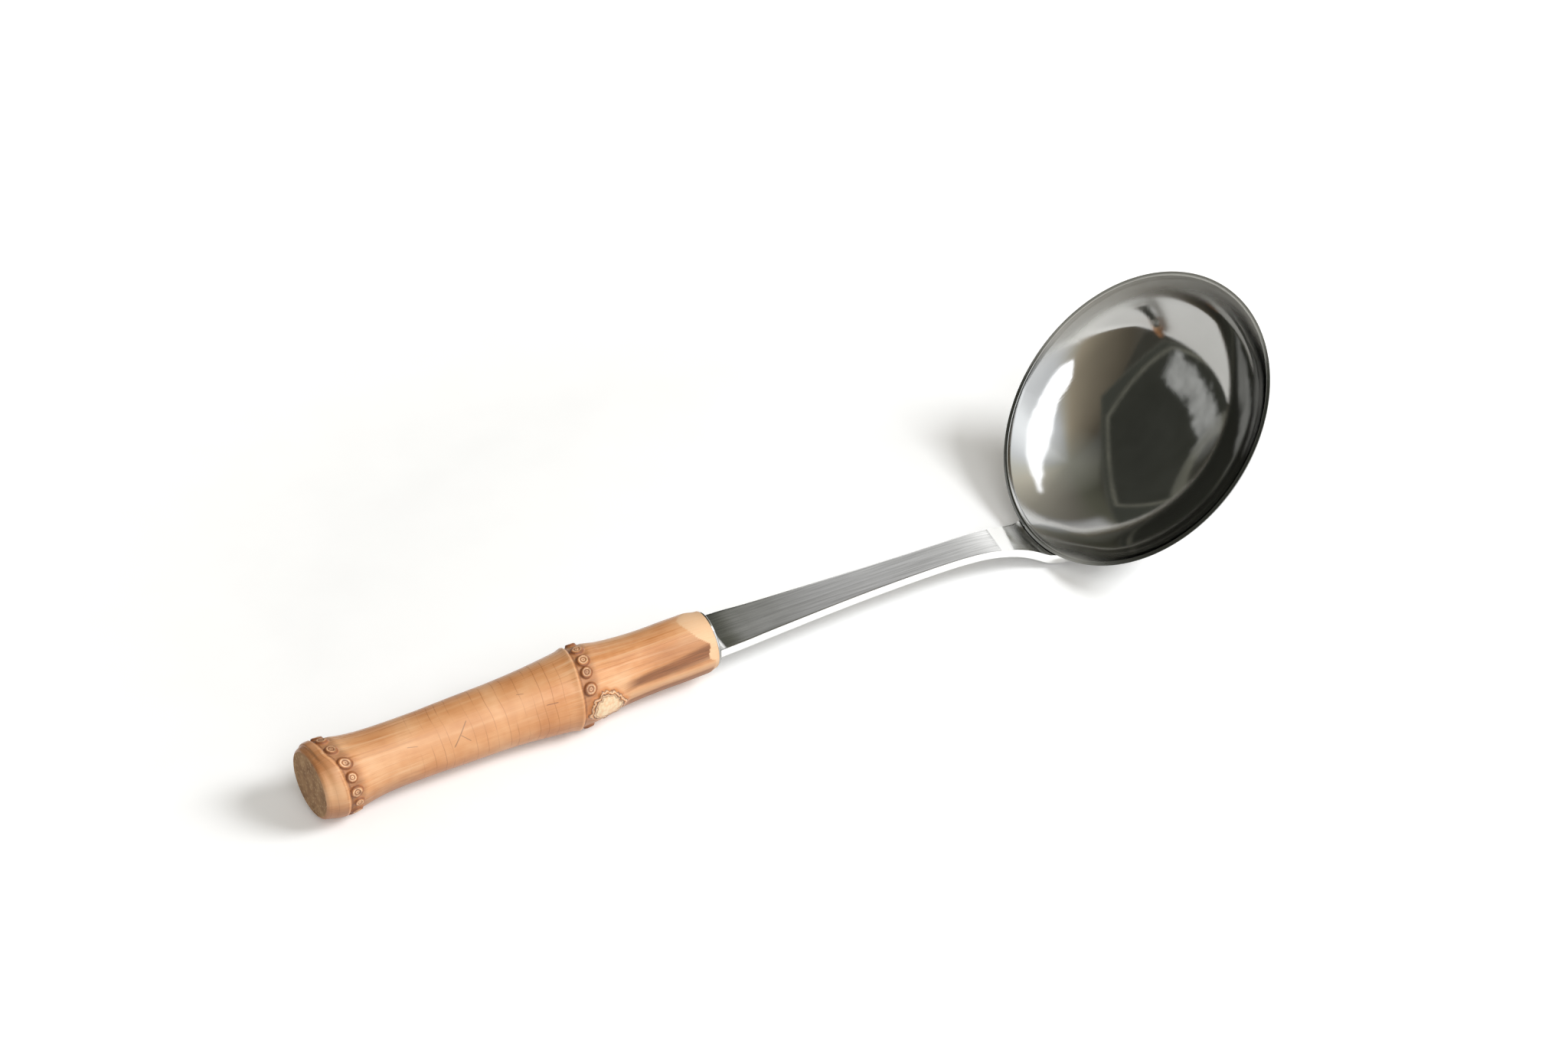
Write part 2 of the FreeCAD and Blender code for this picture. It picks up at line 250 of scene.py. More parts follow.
def mirrorSteel(name="mirrorSteel", steeper=False):
    s = Shader(name)
    plan = mirrorPlan
    about = s.coordinates(offset=tuple(-place(*plan["middle"])))
    wipes = s.noise(s.stretched(about, (1, 16, 1), (0.3, 0.5, 0.4)), 220, 3, 0.6)
    hairs = s.noise(s.stretched(about, (20, 1, 1), (0.2, 0.9, 0.1)), 300, 2, 0.6)
    clouds = s.noise(about, 42, 3, 0.55)
    colour = s.ramp(clouds, [(0.3, plan["tints"][0]), (0.7, plan["tints"][1])])
    worn = s.math("ADD", s.math("MULTIPLY", wipes, 0.55), s.math("MULTIPLY", clouds, 0.45))
    rough = s.ramp(worn, [(0.35, plan["rough"][0]), (0.7, plan["rough"][1])])
    wall, metal = None, 1.0
    if steeper:
        swell = rimSwell(s)
        rough = s.mix(s.ramp(swell, [(0.02, 0.0), (0.6, 1.0)]), rough, plan["wallRough"])
        # painted reflection of the steeper wall in the ring near the rim
        colour = s.mix(s.ramp(swell, [(0.1, 0.0), (0.8, 1.0)]), colour, plan["wallReflectionTint"])
        metal = s.ramp(swell, [(0.15, 1.0), (0.8, plan["wallMetal"])])
        wall = s.bump(swell, swellPlan["rise"] * mm)
    normal = s.bump(hairs, 0.01 * mm, 0.3, s.bump(wipes, 0.02 * mm, 0.25, wall))
    return s.finish(metal=metal, colour=colour, roughness=rough, normal=normal)


def rimSwell(s):
    plan = swellPlan
    lean = math.radians(bowlPlan["lean"])
    axis = (-math.sin(lean), 0, math.cos(lean))
    about = s.coordinates(offset=tuple(-place(*bowlPlan["rimCentre"])))
    deep = s.dot(about, axis)
    reach = s.math("SQRT", s.math("SUBTRACT", s.dot(about, about), s.math("MULTIPLY", deep, deep)))
    span = (plan["end"] - plan["start"]) * mm
    share = s.math("MULTIPLY_ADD", reach, 1 / span, -plan["start"] * mm / span)
    share = s.math("MINIMUM", s.math("MAXIMUM", share, 0.0), 1.0)
    faceWay = s.node("ShaderNodeNewGeometry").outputs["True Normal"]
    inside = s.math("GREATER_THAN", s.dot(faceWay, axis), 0.05)
    softSide = s.ramp(s.math("DIVIDE", s.dot(about, plan["soft"]), reach), plan["softFade"])
    nearSide = s.ramp(s.math("DIVIDE", s.dot(about, plan["near"]), reach), plan["nearFade"])
    return s.product(s.math("POWER", share, plan["power"]), inside, softSide, nearSide)


brushedPlan = {
    "ground": (0.62, 0.62, 0.61),
    "stroke": (0.37, 0.37, 0.36),
    "hair": (0.76, 0.76, 0.75),
    "side": (0.97, 0.97, 0.96),  # the bar's narrow edges, painted near white as a painted reflection of the pale floor
    "rough": (0.09, 0.17),
    "bendStart": (96.9, -0.165),  # how far along the bar, and its slant across it
    "bendEnd": (101.6, -0.325),
    "bendHighlightTint": (0.95, 0.95, 0.94),  # painted highlight: the bend is painted brighter than the flat
    "bendRough": (0.42, 0.42, 0.42),
    "bendMetal": 0.38,
    # painted reflection: past the bend the top is painted dark grey
    "pastBendReflection": (0.40, 0.40, 0.38),
    "pastShare": 0.8,
}


def brushedSteel():
    s = Shader("brushedSteel")
    plan = brushedPlan
    hairs = s.noise(s.coordinates(scale=(0.02, 1, 0)), 3000, 3, 0.7)
    strokes = s.noise(s.coordinates(scale=(0.035, 1, 0)), 900, 3, 0.65)
    bands = s.noise(s.coordinates(scale=(0.06, 1, 0)), 260, 2, 0.5)
    colour = s.mix(s.ramp(strokes, [(0.35, 0.0), (0.7, 0.85)]), plan["ground"], plan["stroke"])
    colour = s.mix(s.ramp(hairs, [(0.55, 0.0), (0.75, 0.5)]), colour, plan["hair"])
    facing = s.split(s.node("ShaderNodeNewGeometry").outputs["True Normal"])
    edgeReflectionShare = s.ramp(s.math("ABSOLUTE", facing[1]), [(0.35, 0.0), (0.75, 1.0)])
    upward = s.ramp(facing[2], [(0.4, 0.0), (0.6, 1.0)])
    # painted reflection: faces turned sideways are painted near white
    colour = s.mix(edgeReflectionShare, colour, plan["side"])
    rough = s.ramp(bands, [(0.3, plan["rough"][0]), (0.7, plan["rough"][1])])

    reach = s.split(s.coordinates(scale=(1 / mm,) * 3, offset=tuple(-axisStart / mm)))
    (start, startSlant), (end, endSlant) = plan["bendStart"], plan["bendEnd"]
    into = s.math("MULTIPLY_ADD", reach[1], startSlant, s.math("SUBTRACT", reach[0], start))
    past = s.math("MULTIPLY_ADD", reach[1], endSlant, s.math("SUBTRACT", reach[0], end))
    # painted highlight across the bend, on the upward faces
    bendHighlight = s.product(s.ramp(into, [(0.0, 0.0), (0.5, 1.0)]), s.ramp(past, [(0.0, 1.0), (1.0, 0.0)]), upward)
    # painted dark reflection on the upward faces past the bend
    pastBendDark = s.product(s.ramp(past, [(0.0, 0.0), (1.0, 1.0)]), upward, plan["pastShare"])
    colour = s.mix(bendHighlight, s.mix(pastBendDark, colour, plan["pastBendReflection"]), plan["bendHighlightTint"])
    rough = s.mix(bendHighlight, rough, plan["bendRough"])
    metal = s.math("MULTIPLY_ADD", bendHighlight, plan["bendMetal"] - 1, 1.0)
    normal = s.bump(hairs, 0.02 * mm, 0.4, s.bump(strokes, 0.04 * mm, 0.3))
    return s.finish(metal=metal, colour=colour, roughness=rough, normal=normal)


def weldSteel():
    s = Shader("weldSteel")
    about = s.coordinates()
    ripples = s.noise(about, 900, 2, 0.5)
    tint = s.noise(about, 300, 3, 0.6)
    colour = s.ramp(tint, [(0.3, (0.42, 0.40, 0.37)), (0.7, (0.58, 0.57, 0.55))])
    rough = s.ramp(ripples, [(0.3, 0.22), (0.7, 0.38)])
    return s.finish(metal=1.0, colour=colour, roughness=rough, normal=s.bump(ripples, 0.1 * mm, 0.5))


def curedResin():
    s = Shader("curedResin")
    about = s.coordinates()
    bubbles = s.node("ShaderNodeTexVoronoi", {"Vector": about, "Scale": 900}).outputs["Distance"]
    tint = s.noise(about, 260, 3, 0.6)
    colour = s.ramp(tint, [(0.3, (0.52, 0.42, 0.24)), (0.7, (0.66, 0.57, 0.36))])
    return s.finish(colour=colour, roughness=0.45, normal=s.bump(bubbles, 0.1 * mm, 0.4))


skinColours = {
    "deep": (0.38, 0.135, 0.042),
    "brown": (0.52, 0.205, 0.066),
    "middle": (0.620, 0.282, 0.112),
    "light": (0.715, 0.400, 0.205),
    "gold": (0.785, 0.525, 0.320),
    "shaved": (0.74, 0.485, 0.285),
    "cream": (0.755, 0.60, 0.395),
    "bark": (0.20, 0.075, 0.032),
    "char": (0.05, 0.022, 0.012),
    "stainAndShadeDark": (0.13, 0.05, 0.022),
    "shade": (0.29, 0.105, 0.036),
    "pith": (0.38, 0.215, 0.108),
    "pithDark": (0.24, 0.125, 0.06),
    "pithLight": (0.52, 0.325, 0.17),
    "pithPore": (0.58, 0.39, 0.22),
}
skinScratches = [  # along, around, half width
    ((76.0, 6.0), (81.4, 12.3), 0.15),
    ((76.3, 12.0), (79.0, 9.2), 0.10),
    ((53.1, 9.6), (49.3, 9.9), 0.10),
    ((60.5, 4.2), (58.2, 4.8), 0.08),
    ((94.0, 7.5), (90.8, 8.3), 0.08),
]
# each nub's rings from its middle out; the dark outer rings stand partly for painted shade in the crevice at
# its foot
nubRings = [(0.0, "bark"), (0.09, "deep"), (0.16, "gold"), (0.25, "light"), (0.33, "deep"), (0.40, "bark"),
            (0.50, "light"), (0.60, "gold"), (0.70, "brown"), (0.80, "deep"), (0.90, "bark"), (1.0, "deep")]
scarRings = [(0.62, "light"), (0.68, "bark"), (0.74, "gold"), (0.79, "char"), (0.85, "brown"), (0.90, "gold"),
             (0.96, "bark"), (1.0, "brown")]


def bambooSkin():
    s = Shader("bambooSkin")
    c = skinColours
    fibre = s.attribute("fibre")
    side, top, along = s.split(fibre)
    dark, pale, worked = s.split(s.attribute("tone"))
    nub, scar, sawn = s.split(s.attribute("marks"))
    about = s.coordinates()

    hairs = s.noise(s.stretched(fibre, (1, 1, 0.03)), 4.2, 4, 0.65)
    streaks = s.noise(s.stretched(fibre, (1, 1, 0.022)), 1.1, 4, 0.6)
    bands = s.noise(s.stretched(fibre, (1, 1, 0.05)), 0.30, 2, 0.5)
    clouds = s.noise(fibre, 0.085, 3, 0.55)
    specks = s.noise(fibre, 3.5, 3, 0.7)
    colour = s.ramp(clouds, [(0.28, c["brown"]), (0.48, c["middle"]), (0.72, c["light"])])
    colour = s.mix(s.ramp(bands, [(0.5, 0.0), (0.72, 0.55)]), colour, c["light"])
    plain = s.math("MULTIPLY_ADD", worked, -0.72, 1.0)  # the rubbed middle shows little of its fibres
    for source, stops, tint in ((streaks, [(0.52, 0.0), (0.74, 0.60)], "gold"),
                                (streaks, [(0.26, 0.55), (0.44, 0.0)], "deep"),
                                (hairs, [(0.30, 0.42), (0.46, 0.0)], "deep"),
                                (hairs, [(0.60, 0.0), (0.76, 0.40)], "cream")):
        colour = s.mix(s.math("MULTIPLY", plain, s.ramp(source, stops)), colour, c[tint])

    wobble = s.noise(s.stretched(fibre, (0.5, 0.5, 0.15)), 0.16, 1, 0.3)
    reach = s.math("MULTIPLY_ADD", wobble, 1.2, s.math("MULTIPLY", along, 0.31))
    gap = s.node("ShaderNodeTexVoronoi", {"W": reach, "Scale": 1.0}, voronoi_dimensions="1D",
                 feature="DISTANCE_TO_EDGE").outputs["Distance"]
    ringLine = s.ramp(gap, [(0.01, 1.0), (0.05, 0.0)])
    patches = s.noise(s.stretched(fibre, (0.7, 0.7, 2.5)), 0.16, 2, 0.5)
    cracks = s.product(ringLine, s.ramp(patches, [(0.36, 0.0), (0.52, 1.0)]), worked)
    colour = s.mix(s.math("MULTIPLY", cracks, 0.75), colour, c["deep"])
    colour = s.mix(s.ramp(specks, [(0.68, 0.0), (0.78, 0.35)]), colour, c["deep"])

    girth = s.math("MULTIPLY", s.math("ARCTAN2", side, top), handlePlan["fibreRadius"])
    scratch = 0.0
    for start, end, width in skinScratches:
        scratch = s.math("MAXIMUM", scratch, s.stroke(along, girth, start, end, width))
    colour = s.mix(s.math("MULTIPLY", scratch, 0.92), colour, c["bark"])

    grain = s.ramp(hairs, [(0.36, 0.55), (0.58, 0.0)])
    # the pale tone is the shaved facets' bare wood, and elsewhere painted highlights
    colour = s.mix(pale, colour, s.mix(grain, c["shaved"], c["light"]))
    # the dark tone is painted shade on the underside, in the furrow and under the lips, with some brown skin
    stainAndShade = s.mix(s.ramp(hairs, [(0.34, 0.0), (0.66, 1.0)]), c["stainAndShadeDark"], c["shade"])
    colour = s.mix(dark, colour, stainAndShade)

    ringEdge = s.math("MULTIPLY_ADD", specks, 0.16, s.math("SUBTRACT", nub, 0.08))
    nubFace = s.ramp(ringEdge, [(edge, c[tint]) for edge, tint in nubRings])
    soiled = s.ramp(s.noise(fibre, 0.45, 3, 0.6), [(0.42, 0.0), (0.62, 0.7)])
    nubFace = s.mix(soiled, nubFace, c["bark"])
    colour = s.mix(s.ramp(nub, [(0.98, 1.0), (1.15, 0.0)], span=1.5), colour, nubFace)

    ragged = s.noise(fibre, 0.8, 3, 0.6)
    scarEdge = s.math("MULTIPLY_ADD", ragged, 0.34, s.math("SUBTRACT", scar, 0.17))
    knots = s.node("ShaderNodeTexVoronoi", {"Vector": fibre, "Scale": 1.1}).outputs["Distance"]
    scarCore = s.mix(s.ramp(knots, [(0.35, 0.0), (0.75, 0.6)]), c["cream"], c["light"])
    rings = s.ramp(scarEdge, [(edge, c[tint]) for edge, tint in scarRings])
    scarred = s.mix(s.ramp(scarEdge, [(0.62, 0.0), (0.70, 1.0)]), scarCore, rings)
    colour = s.mix(s.ramp(scar, [(1.02, 1.0), (1.22, 0.0)], span=1.5), colour, scarred)

    pores = s.node("ShaderNodeTexVoronoi", {"Vector": about, "Scale": 900}).outputs["Distance"]
    pith = s.ramp(s.noise(about, 260, 4, 0.65),
                  [(0.3, c["pithDark"]), (0.5, c["pith"]), (0.7, c["pithLight"])])
    pith = s.mix(s.ramp(pores, [(0.15, 0.75), (0.4, 0.0)]), pith, c["pithPore"])
    colour = s.mix(sawn, colour, pith)

    rough = s.ramp(streaks, [(0.3, 0.24), (0.7, 0.36)])
    rough = s.mix(s.math("MAXIMUM", dark, pale), rough, (0.55, 0.55, 0.55))
    rough = s.mix(sawn, rough, (0.9, 0.9, 0.9))
    fine = s.bump(hairs, 0.05 * mm, 0.35)
    fine = s.bump(cracks, 0.05 * mm, -0.4, fine)
    fine = s.bump(s.math("MULTIPLY", sawn, pores), 0.15 * mm, 0.6, fine)
    return s.finish(colour=colour, roughness=rough, normal=fine, specular=0.5)


bowlPlan = {
    "rimCentre": (145.17, 0, 25.40),
    "rimRadius": 47.42,
    "depth": 26.0,
    "wall": 0.9,
    "lean": 45.2,
    "rimBevel": 0.4,
    "around": 256,
    "rings": 96,
}


def makeBowl():
    plan = bowlPlan
    radius = (plan["rimRadius"] ** 2 + plan["depth"] ** 2) / (2 * plan["depth"])
    mouth = radius - plan["depth"]
    bpy.ops.mesh.primitive_uv_sphere_add(segments=plan["around"], ring_count=plan["rings"] * 3,
                                         radius=radius * mm, location=(0, 0, mouth * mm))
    bowl = bpy.context.active_object
    bowl.name = "bowlShell"
    bpy.ops.object.transform_apply(location=True, rotation=True, scale=True)
    bpy.ops.object.mode_set(mode="EDIT")
    bpy.ops.mesh.select_all(action="SELECT")
    bpy.ops.mesh.bisect(plane_co=(0, 0, 0), plane_no=(0, 0, 1), clear_outer=True)
    bpy.ops.object.mode_set(mode="OBJECT")
    applyModifier(bowl, "SOLIDIFY", thickness=plan["wall"] * mm, offset=-1, use_even_offset=True)
    for vertex in bowl.data.vertices:  # the solidified rim is trued back to the mouth's plane
        if vertex.co.z > -0.8 * plan["wall"] * mm:
            vertex.co.z = 0
    bowl.data.transform(Matrix.Rotation(math.radians(-plan["lean"]), 4, "Y"))
    bowl.data.transform(Matrix.Translation(place(*plan["rimCentre"])))
    select(bowl)
    applyModifier(bowl, "BEVEL", width=plan["rimBevel"] * mm, segments=5, limit_method="ANGLE",
                  angle_limit=math.radians(25))
    bpy.ops.object.shade_smooth_by_angle(angle=math.radians(40))
    bowl.data.materials.clear()
    bowl.data.materials.append(mirrorSteel("bowlSteel", steeper=True))
    return finished(bowl, "polished_steel", "bowl")


shankPlan = {
    "rise": 1.6,
    "fall": 10.0,
    "plate": 0.8,
    "thickness": 2.5,
    "rimReach": 111.7,
    "tabReach": 130.0,
    "flareReach": 116.0,
    "edge": 0.22,
    "across": 20,
    "along": 150,
    "fallShares": [0, .008, .026, .042, .053, .063, .074, .086, .100, .117,
                   .136, .156, .179, .207, .247, .318, .453, .680, 1],  # evenly spaced from plate to rim
    "halfWidths": [(0.8, 8.25), (8.7, 7.92), (16.6, 7.27), (28.5, 6.58), (44.4, 5.79), (60.2, 5.24),
                   (75, 4.975), (84, 5.035), (92, 5.397), (98, 5.94), (104, 6.66), (108, 7.87),
                   (111.9, 9.8), (116, 11.0)],
    "barShare": 0.85,  # share of the rows that the bar takes, the rest is the tab's round nose
    "noseTurn": 0.97,
    "clear": 0.03,
    "dishCentre": (123.6, 46.8),
    "dishRadius": 56.39,
}


def shankTop(x, y):
    plan = shankPlan
    centreX, centreZ = plan["dishCentre"]
    radius, rim = plan["dishRadius"], plan["rimReach"]
    step = (rim - plan["plate"]) / (len(plan["fallShares"]) - 1)
    if x >= rim:
        return centreZ - math.sqrt(max(radius ** 2 - (x - centreX) ** 2 - y * y, 0))
    table = [(plan["plate"] + step * i, plan["rise"] - plan["fall"] * share)
             for i, share in enumerate(plan["fallShares"])]
    dished = throughTable([(0, 0), (rim - 3.2 * step, 0), (rim - 2 * step, 0.1), (rim - step, 0.4),
                           (rim, 0.9), (rim + 2, 1), (rim + 9, 1)], x)
    sag = radius - math.sqrt(radius ** 2 - y * y)
    return throughTable(table, x) + sag * max(dished, 0)


def makeShank():
    plan = shankPlan
    flare, tab = plan["flareReach"], plan["tabReach"]
    bpy.ops.mesh.primitive_grid_add(x_subdivisions=plan["along"], y_subdivisions=plan["across"], size=2)
    shank = bpy.context.active_object
    shank.name = "shankBar"
    for vertex in shank.data.vertices:
        t, side = (vertex.co.x + 1) / 2, vertex.co.y
        if t < plan["barShare"]:
            x = plan["plate"] + (flare - plan["plate"]) * t / plan["barShare"]
            half = throughTable(plan["halfWidths"], x)
        else:
            turn = (t - plan["barShare"]) / (1 - plan["barShare"]) * math.pi / 2 * plan["noseTurn"]
            x = flare + (tab - flare) * math.sin(turn)
            half = plan["halfWidths"][-1][1] * math.cos(turn)
        y = half * side
        vertex.co = place(x, y, shankTop(x, y) - plan["clear"])
    applyModifier(shank, "SOLIDIFY", thickness=plan["thickness"] * mm, offset=-1, use_even_offset=False)
    for vertex in shank.data.vertices:
        vertex.co.z = max(vertex.co.z, plan["clear"] * mm)  # the tab lies flat on the table
    applyModifier(shank, "BEVEL", width=plan["edge"] * mm, segments=3, limit_method="ANGLE",
                  angle_limit=math.radians(40))
    bpy.ops.object.shade_smooth_by_angle(angle=math.radians(45))
    shank.data.materials.clear()
    shank.data.materials.append(brushedSteel())
    return finished(shank, "brushed_steel", "shank")


handlePlan = {
    "length": 121.6,
    "around": 300,
    "fibreRadius": 9.5,  # of the plain roller on which the skin's pattern is drawn
    "clear": 0.02,
    "midLip": 42.7,
    "buttLip": 114.0,
    "lipFeet": (42.1, 113.4),  # where each lip begins to rise from its band
    "lipSteps": ((11.3, 0.6), (10.9, 0.55)),  # radius of the band, rise of the lip
    "radii": [(0, 9.2), (6.8, 9.3), (12.3, 9.3), (17.7, 9.25), (23.2, 9.4), (28.6, 9.75), (33, 10.25),
              (35.8, 10.85), (37.6, 11.15), (42.0, 11.3)],
    "hand": [(42.7, 11.9), (44.7, 11.35), (50, 10.75), (55.3, 10.22), (60.6, 9.85), (65.8, 9.6), (71, 9.5),
             (76, 9.4), (81.3, 9.28), (86.4, 9.12), (91.5, 9.12), (96.6, 9.15), (101.7, 9.4),
             (104.5, 9.75), (106.7, 10.1), (109, 10.6), (111, 10.8), (113.4, 10.9)],
    "butt": [(114.0, 11.45), (116.7, 11.1), (119, 10.6), (121.6, 10.15)],
    "midTilt": [(-180, 43.7), (-120, 42.3), (-42, 41.5), (15, 42.4), (55, 43.3), (117, 44.0), (150, 44.0)],
    "buttTilt": [(-180, 114.8), (-120, 116.2), (-60, 116.9), (-22, 116.6), (5, 115.9), (15, 115.5),
                 (24, 114.6), (40, 113.7), (61, 113.2), (79, 113.0), (120, 113.3), (150, 113.9)],
    "frontEdge": [(-180, 4.5), (-42, 4.2), (-6, 8.2), (23, 6.7), (43, 4.8), (58, 2.4), (84, 3.2),
                  (93, 1.5), (140, 3.0)],  # how far the knife cuts reach back from the front end
    "frontRadius": 8.55,
    "midFades": ((14, 34), (48, 70)),  # where each lip's lean comes in and goes out
    "buttFades": ((92, 108), (115, 121.4)),
}
rowPlan = {
    "capShares": [0.985, 0.96, 0.9, 0.8, 0.65, 0.45, 0.25, 0.1, 0.0],
    "nubRows": (40.6, 112.4),  # near these the rows stand closest
    "reaches": (4.4, 9.0),
    "steps": (0.24, 0.42, 0.9),
    "roundFrom": 120.6,
    "roundRows": 6,
    "roundIn": 0.08,
}
facePlan = {
    "tilt": (-0.12, 0.06),
    "middle": -120.2,
    "from": 114.5,
    "sawnShare": 0.935,  # inside this share of the radius the butt shows its pith
}
nubPlan = {
    "mid": [(-42, 1.7), (-9, 2.0), (14, 2.15), (33, 1.9), (57, 2.05), (146, 1.9), (168, 1.8), (191, 2.0),
            (215, 1.8), (241, 1.9), (266, 2.0), (292, 1.8)],
    "butt": [(-38, 1.7), (-17, 1.9), (9, 1.75), (36, 1.95), (58, 1.7), (81, 1.95), (101, 1.6), (124, 1.7),
             (147, 1.8), (168, 1.7), (191, 1.8), (214, 1.6), (238, 1.8), (262, 1.7), (288, 1.7)],
    "bands": [("mid", 39.7, 11.3, 0.80, 42.0),  # row, middle, radius, height, lip
              ("butt", 111.5, 10.8, 0.70, 113.3)],
    "reach": 5,
    "groove": (0.15, 0.38, 0.9),  # shadow under the lip: how far before it, width, darkness
    "belt": (2.6, 0.55, 0.12),  # half width, darkness, how deep it sinks; the darkness is browner skin with painted shade between the nubs
    "wander": 0.25,
    "stretch": (0.93, 0.05),
    "fit": 0.93,
    "sides": (0.82, 1.1),  # between these shares of its radius a nub falls to the skin
    "rings": [(0.10, 0.56, 0.1), (-0.13, 0.38, 0.09), (-0.10, 0.0, 0.12)],  # height, place, width
    "flutes": (40, 9, 0.10, 2.2, 9),  # how many, degrees apart, depth, width, length
}
scarPlan = {
    "angle": 95,
    "middle": 35.0,
    "radius": 10.2,
    "slant": 0.25,
    "size": (5.9, 4.7),
    "waves": [(0.09, 3, 0.6), (0.05, 7, 0.0), (0.03, 13, 0.0)],
    "rise": 0.75,
    "sides": (0.75, 1.12),
    "rim": (0.88, 0.1, 0.25),  # place, width, height
}
furrowPlan = {
    "end": 37,
    "line": [(0, 68), (4, 70), (14, 76), (22, 78), (30, 79)],  # its middle's angle along the handle
    "width": [(0, 17), (4, 16), (14, 13), (25, 9)],
    "depth": 0.55,
    "spread": 13,
    # the furrow's darkness is its brown skin with painted shade in the groove
    "darkness": 0.95,
    "fades": (24, 31),
    "ridge": (97, 6, 0.15, 0.45),  # angle, width, height, paleness; the paleness is a painted highlight on the ridge
    "ridgeFades": (27, 31),
    "lowerSide": ((103, 112), (150, 170)),  # angles between which its darker lower side comes in and goes out: browner skin with painted shade
    "lowerFades": (27, 33),
    "lowerDark": 0.8,
    "highlightSpot": (31, 4.5, 64, 14, 0.5),  # a painted highlight: how far back, length, angle, width, paleness
    "brownSpot": (49, 17, 0.36),  # angle, width, darkness
    "brownFades": (14, 26),
}
wearShadeAndHighlightPlan = {
    "under": (78, 118),  # degrees from the top, between which the underside darkens: painted shade, with browner skin there
    "underDark": (0.30, 0.22),  # everywhere, and added towards the butt
    "underReach": (84, 100),
    "handFrom": 43.3,
    "hand": (48, 34, 0.25),  # where the hand has rubbed it and its lit front shows a painted highlight: angle, width, paleness
    "handFades": ((46, 60), (106, 110)),
    "buttFrom": 114.6,
    "buttDark": (15, 28, 0.38),  # angle, width, darkness
    "buttPale": (70, 26, 0.5),
    "lipEdgeHighlight": (0.1, 0.4, 0.12),  # painted highlight on each lip's edge: before and behind each lip, paleness
    "worked": ((44, 50), (84, 98)),  # the scraped length comes in and goes out
    "workedButt": (114.2, 115, 0.85),
}


def angleGap(a, b):
    return (a - b + 180) % 360 - 180


def bell(value, width, power=2):
    return math.exp(-(value / width) ** power)


def between(value, rise, fall):
    return smoothStep(*rise, value) * (1 - smoothStep(*fall, value))


def handleRows():
    plan = rowPlan
    (near, far), (fine, middle, coarse) = plan["reaches"], plan["steps"]
    length, caps = handlePlan["length"], plan["capShares"]
    rows = [(0.0, share) for share in reversed(caps)]  # how far back, share of the radius
    s = 0.0
    while s < plan["roundFrom"]:
        rows.append((s, 1.0))
        gap = min(abs(s - row) for row in plan["nubRows"])
        s += fine if gap < near else middle if gap < far or s < far else coarse
    for k in range(1, plan["roundRows"] + 1):
        a = k / plan["roundRows"] * math.pi / 2
        s = plan["roundFrom"] + (length - plan["roundFrom"]) * math.sin(a)
        rows.append((s, 1.0 - plan["roundIn"] * (1 - math.cos(a))))
    return rows + [(length, (1.0 - plan["roundIn"]) * share) for share in caps]


def makeHandle():
    rows = handleRows()
    bpy.ops.mesh.primitive_grid_add(x_subdivisions=len(rows) - 1, y_subdivisions=handlePlan["around"],
                                    size=2)
    handle = bpy.context.active_object
    handle.name = "bambooHandle"
    mesh = handle.data
    layers = {"fibre": [], "tone": [], "marks": []}
    for vertex in mesh.vertices:
        s, share = rows[round((vertex.co.x + 1) / 2 * (len(rows) - 1))]
        turn = (vertex.co.y + 1) / 2 * 360 - 180
        vertex.co, *found = handlePoint(s, share, turn)
        for values, value in zip(layers.values(), found):
            values.extend(value)
    for name, values in layers.items():
        mesh.attributes.new(name, "FLOAT_VECTOR", "POINT").data.foreach_set("vector", values)
    select(handle)
    bpy.ops.object.mode_set(mode="EDIT")
    bpy.ops.mesh.select_all(action="SELECT")
    bpy.ops.mesh.remove_doubles(threshold=0.004 * mm)
    bpy.ops.mesh.normals_make_consistent(inside=False)
    bpy.ops.object.mode_set(mode="OBJECT")
    bpy.ops.object.shade_smooth_by_angle(angle=math.radians(60))
    mesh.materials.clear()
    mesh.materials.append(bambooSkin())
    return finished(handle, "bamboo", "handle")


def handlePoint(s, share, turn):
    plan = facePlan
    a = math.radians(turn)
    out = Vector((0, -math.sin(a), math.cos(a)))
    radius, dark, pale, worked, shift, nub, scar = surface(s, turn)
    p = Vector((-(s + shift), 0, 0)) + out * radius * share
    sawn = 0.0
    if s > plan["from"]:
        faceX = plan["middle"] + plan["tilt"][0] * p.y + plan["tilt"][1] * p.z
        length = handlePlan["length"]
        p.x += (faceX + length) * smoothStep(plan["from"], length, s)
        if share < plan["sawnShare"]:
            sawn, pale, dark = 1.0, 0.0, 0.0
    spot = place(*p)
    spot.z = max(spot.z, handlePlan["clear"] * mm)  # the lowest nubs rest on the table
    roller = handlePlan["fibreRadius"]
    return spot, (math.sin(a) * roller, math.cos(a) * roller, s), (dark, pale, worked), (nub, scar, sawn)


def bareRadius(s):
    plan = handlePlan
    midFoot, buttFoot = plan["lipFeet"]
    (midBand, midRise), (buttBand, buttRise) = plan["lipSteps"]
    if s < midFoot:
        return throughTable(plan["radii"], s)
    if s < plan["midLip"]:
        return midBand + midRise * smoothStep(midFoot, plan["midLip"], s)
    if s < buttFoot:
        return throughTable(plan["hand"], s)
    if s < plan["buttLip"]:
        return buttBand + buttRise * smoothStep(buttFoot, plan["buttLip"], s)
    return throughTable(plan["butt"], s)


